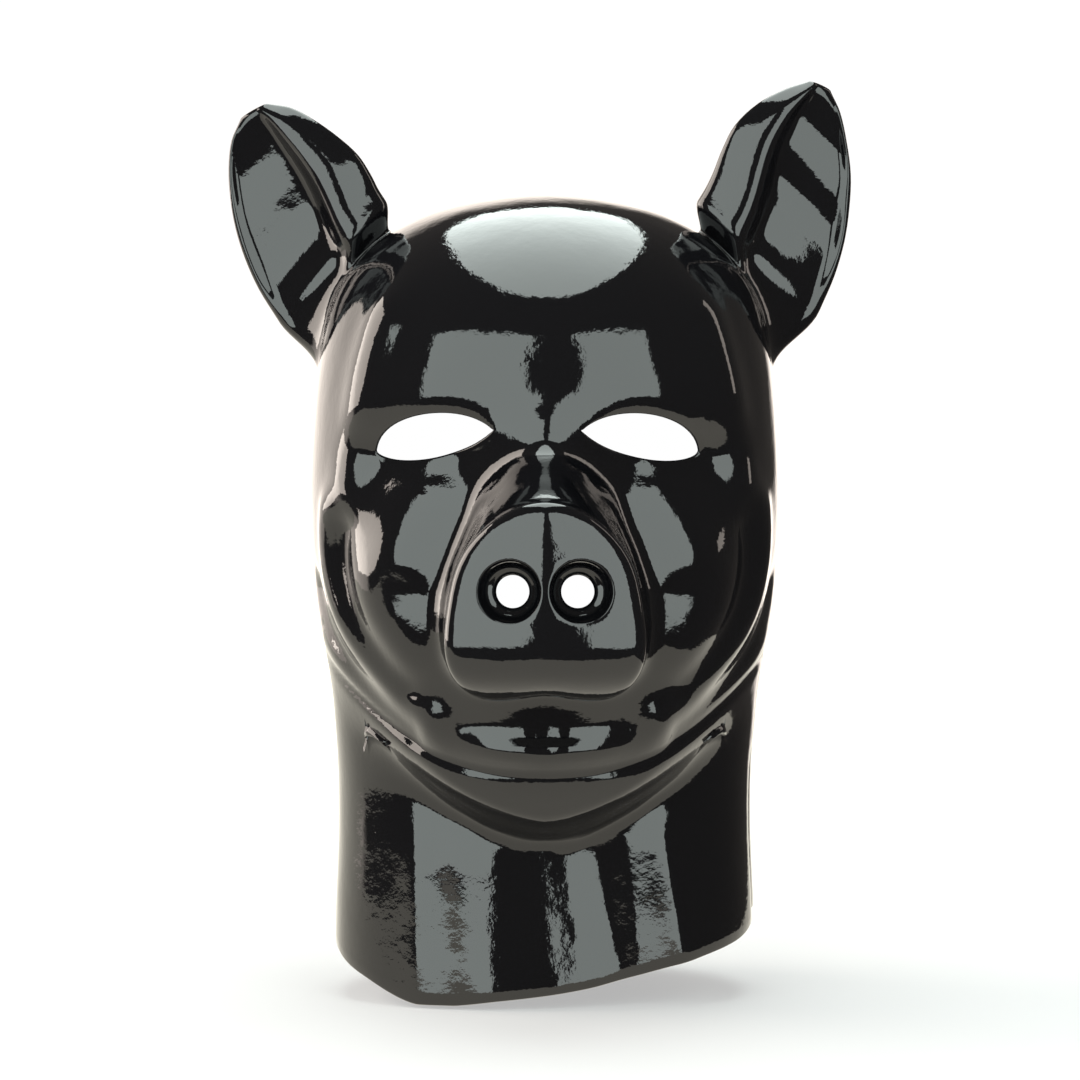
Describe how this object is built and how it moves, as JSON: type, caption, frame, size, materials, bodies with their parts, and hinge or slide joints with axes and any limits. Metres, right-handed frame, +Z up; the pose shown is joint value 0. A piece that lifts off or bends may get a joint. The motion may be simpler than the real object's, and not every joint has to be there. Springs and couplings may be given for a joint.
{
  "type": "latex pig hood",
  "caption": "Glossy moulded latex hood shaped as a pig's head, with eye openings, a hollow snout with nostrils, upright ears and a neck.",
  "frame": {"origin": "the point inside the crown where the top of the wearer's head carries the hood", "axes": "+Z up through the crown, -Y forwards out of the snout, +X to the wearer's left ear"},
  "size_m": [0.23, 0.2513, 0.3351],
  "materials": {
    "latex": "high gloss"
  },
  "bodies": {
    "root": {"hood": "latex"}
  },
  "joints": []
}
